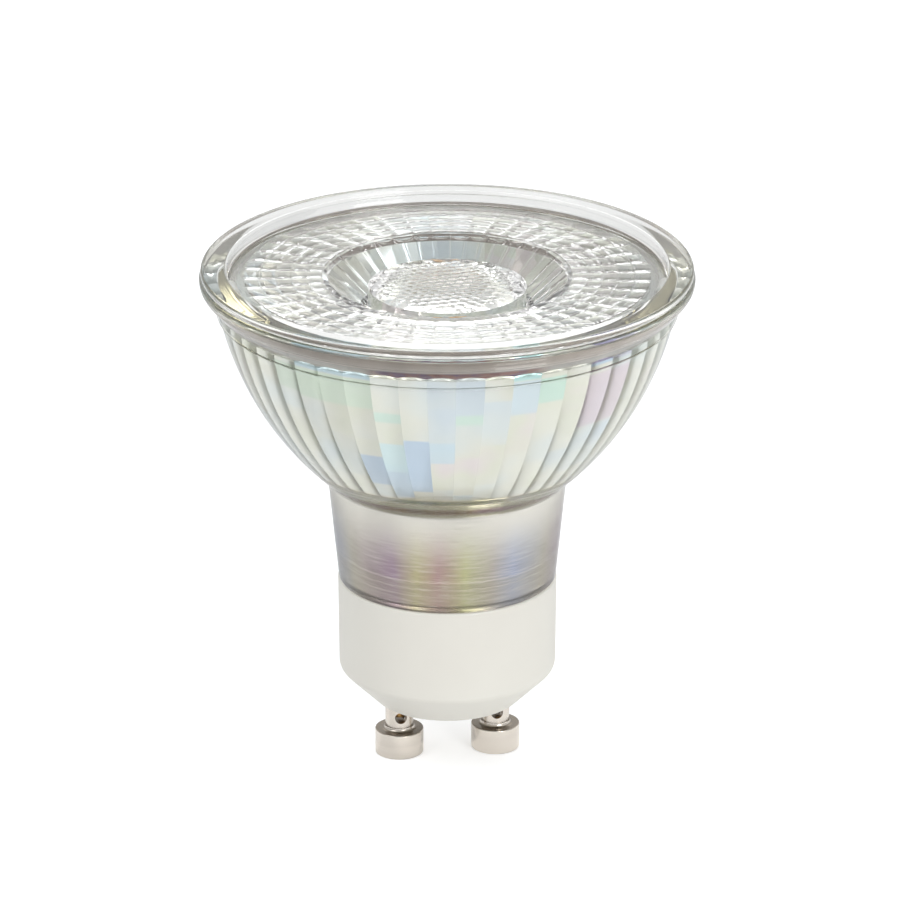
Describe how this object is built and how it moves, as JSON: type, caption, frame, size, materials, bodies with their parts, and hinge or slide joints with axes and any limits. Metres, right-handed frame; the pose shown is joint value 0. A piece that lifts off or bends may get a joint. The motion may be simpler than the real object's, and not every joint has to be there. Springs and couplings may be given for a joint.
{
  "type": "gu10 spotlight bulb",
  "caption": "LED reflector lamp with a fluted pressed-glass bowl, a faceted clear front lens and a white twist-lock base with headed contact pins.",
  "frame": {"origin": "middle of the plane that the two pin heads stand on, on the lamp's axis", "axes": "+Z along the lamp's axis towards the front lens, X along the line through both pins"},
  "size_m": [0.05, 0.05, 0.0532],
  "materials": {
    "coated_glass": "clear pressed glass with a pearly, colour-shifting reflective coat on its inside",
    "clear_plastic": "clear moulded optical plastic",
    "clear_silicone": "cured clear silicone",
    "white_mask": "white solder mask on an aluminium core",
    "white_plastic": "matt white moulding",
    "phosphor": "amber phosphor gel",
    "aluminium": "as-pressed satin",
    "tinned_wire": "tinned",
    "board_laminate": "green solder mask",
    "capacitor_sleeve": "shrunk plastic sleeve",
    "ferrite": "sintered, dull",
    "copper": "enamelled copper wire",
    "resistor_body": "painted ceramic",
    "black_epoxy": "moulded epoxy",
    "bronze_wire": "bare drawn wire",
    "base_plastic": "smooth off-white moulding with a soft sheen",
    "nickel_plate": "turned, satin nickel plate"
  },
  "bodies": {
    "root": {"glass_reflector": "coated_glass", "front_lens": "clear_plastic", "lens_adhesive": "clear_silicone", "led_board": "white_mask", "led_packages": "white_plastic", "led_phosphors": "phosphor", "heat_sink": "aluminium", "lead_bushes": "white_plastic", "supply_pin_left": "tinned_wire", "supply_pin_right": "tinned_wire", "supply_solder": "tinned_wire", "driver_board": "board_laminate", "bulk_capacitor": "capacitor_sleeve", "output_capacitor": "capacitor_sleeve", "inductor_core": "ferrite", "inductor_winding": "copper", "fusible_resistor": "resistor_body", "bridge_rectifier": "black_epoxy", "driver_chip": "black_epoxy", "chip_resistors": "black_epoxy", "live_lead": "bronze_wire", "neutral_lead": "bronze_wire", "base": "base_plastic", "pin_left": "nickel_plate", "pin_right": "nickel_plate"}
  },
  "joints": []
}
